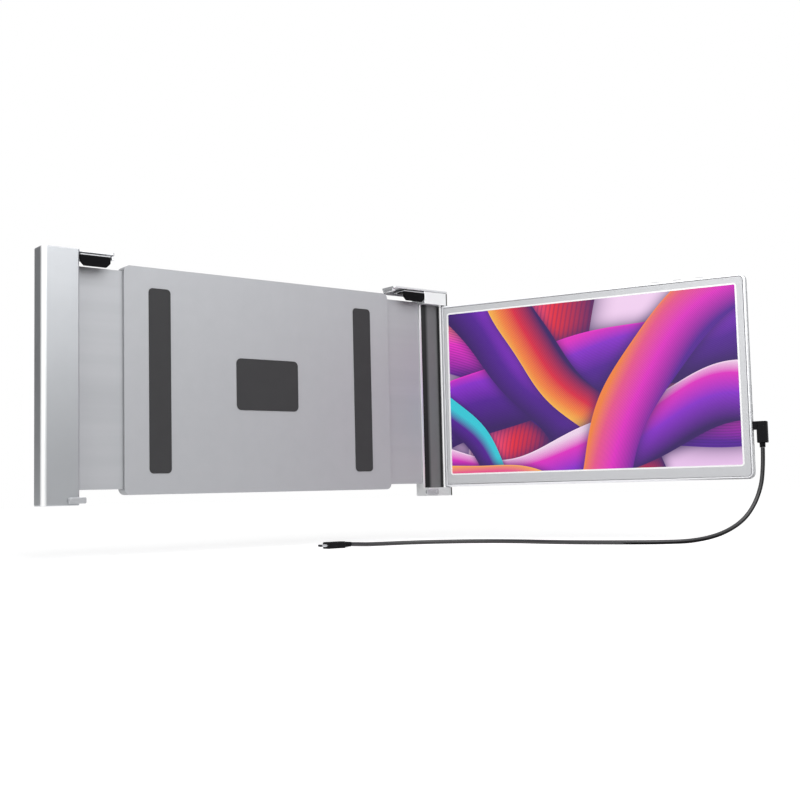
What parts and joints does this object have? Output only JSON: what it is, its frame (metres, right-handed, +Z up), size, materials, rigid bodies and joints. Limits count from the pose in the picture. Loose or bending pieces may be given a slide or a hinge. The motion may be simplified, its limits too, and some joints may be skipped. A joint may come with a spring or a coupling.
{
  "type": "laptop screen extender",
  "caption": "Side screen for a laptop: a chassis behind the lid, telescoping clamp arms, a panel hinged in the right arm's bracket and a USB-C cord.",
  "frame": {"origin": "middle of the chassis's front rest face, which the back of the laptop's lid lies on", "axes": "+X to the right along the lid, +Y to the back, +Z up along the lid; the panel is turned 67 degrees toward the user from the lid's plane"},
  "size_m": [0.5896, 0.3338, 0.272],
  "materials": {
    "block_silver": "fine bead blasted, silver anodised",
    "bracket_silver": "satin, silver anodised",
    "clamp_silver": "satin",
    "arm_plate": "brushed along its length",
    "chassis_plastic": "silver painted, fine texture",
    "stand_plastic": "silver painted, fine texture",
    "black_rubber": "matt",
    "grey_rubber": "matt",
    "spring_steel": "bright",
    "pin_steel": "turned",
    "screw_steel": "black zinc",
    "slide_nylon": "waxy",
    "white_nylon": "waxy",
    "column_grey": "satin",
    "panel_silver": "satin, silver anodised",
    "panel_back": "silver painted",
    "bezel_grey": "smooth, printed under a clear film",
    "border_white": "smooth",
    "screen_glass": "anti-glare, lit picture",
    "clear_acrylic": "frosted",
    "tray_steel": "plain",
    "led_white": "plain",
    "board_green": "solder mask",
    "chip_black": "moulded",
    "flex_amber": "film",
    "plug_black": "moulded, fine texture",
    "tip_metal": "nickel",
    "cord_black": "smooth jacket",
    "button_grey": "satin"
  },
  "bodies": {
    "chassis": {"chassis_rear_cover": "chassis_plastic", "chassis_front_plate": "chassis_plastic", "lid_rest_pads": "grey_rubber", "guide_rails": "slide_nylon", "rail_shoes": "white_nylon", "cover_screws": "screw_steel", "travel_stop_pins": "pin_steel", "stand_hinge_pins": "pin_steel"},
    "stand": {"kickstand": "stand_plastic", "kickstand_foot": "black_rubber"},
    "left_arm": {"left_arm_plate": "arm_plate", "left_block_shell": "block_silver", "left_block_caps": "block_silver", "left_carrier": "slide_nylon", "left_carrier_screws": "screw_steel", "left_clamp_cover": "clamp_silver", "left_hook_strip": "spring_steel", "left_hook_pad": "black_rubber", "left_latch_pin": "spring_steel"},
    "left_latch": {"left_latch": "spring_steel", "left_latch_pad": "black_rubber"},
    "right_arm": {"right_arm_plate": "arm_plate", "right_spine": "bracket_silver", "right_back_plate": "bracket_silver", "column_cover": "column_grey", "right_top_block": "bracket_silver", "right_bottom_block": "bracket_silver", "right_clamp_cover": "clamp_silver", "right_hook_strip": "spring_steel", "right_hook_pad": "black_rubber", "hinge_pins": "pin_steel", "hinge_washers": "slide_nylon", "right_screws": "screw_steel", "right_latch_pin": "spring_steel"},
    "right_latch": {"right_latch": "spring_steel", "right_latch_pad": "black_rubber"},
    "panel": {"panel_frame": "panel_silver", "front_bezel": "bezel_grey", "screen_border": "border_white", "lcd_cell": "screen_glass", "light_guide": "clear_acrylic", "backlight_tray": "tray_steel", "led_strip": "led_white", "driver_board": "board_green", "board_parts": "chip_black", "display_ribbon": "flex_amber", "socket_shells": "tray_steel", "button_board": "board_green", "hinge_leaves": "pin_steel", "panel_rear_cover": "panel_back", "panel_screws": "screw_steel", "right_angle_plug": "plug_black", "plug_tips": "tip_metal", "strain_reliefs": "plug_black", "cord": "cord_black", "far_plug": "plug_black"},
    "power_button": {"power_button": "button_grey"},
    "up_button": {"up_button": "button_grey"},
    "down_button": {"down_button": "button_grey"}
  },
  "joints": [
    {"name": "left_arm_slide", "type": "slide", "parent": "chassis", "child": "left_arm", "axis": [-1, 0, 0], "range_m": [-0.037, 0.005]},
    {"name": "right_arm_slide", "type": "slide", "parent": "chassis", "child": "right_arm", "axis": [1, 0, 0], "range_m": [-0.037, 0.005]},
    {"name": "panel_hinge", "type": "hinge", "parent": "right_arm", "child": "panel", "pos_m": [0.224, -0.0045, 0], "axis": [0, 0, 1], "range_deg": [-113, 112]},
    {"name": "left_latch_turn", "type": "hinge", "parent": "left_arm", "child": "left_latch", "pos_m": [-0.2033, -0.009, -0.1078], "axis": [0, 1, 0], "range_deg": [0, 90]},
    {"name": "right_latch_turn", "type": "hinge", "parent": "right_arm", "child": "right_latch", "pos_m": [0.2033, -0.009, -0.1078], "axis": [0, -1, 0], "range_deg": [0, 90]},
    {"name": "kickstand_hinge", "type": "hinge", "parent": "chassis", "child": "stand", "pos_m": [0, 0.0116, 0.06], "axis": [1, 0, 0], "range_deg": [0, 65]},
    {"name": "power_press", "type": "slide", "parent": "panel", "child": "power_button", "axis": [0, 0, -1], "range_m": [0, 0.0006], "stiffness_N_per_m": 300},
    {"name": "up_press", "type": "slide", "parent": "panel", "child": "up_button", "axis": [0, 0, -1], "range_m": [0, 0.0006], "stiffness_N_per_m": 300},
    {"name": "down_press", "type": "slide", "parent": "panel", "child": "down_button", "axis": [0, 0, -1], "range_m": [0, 0.0006], "stiffness_N_per_m": 300}
  ]
}
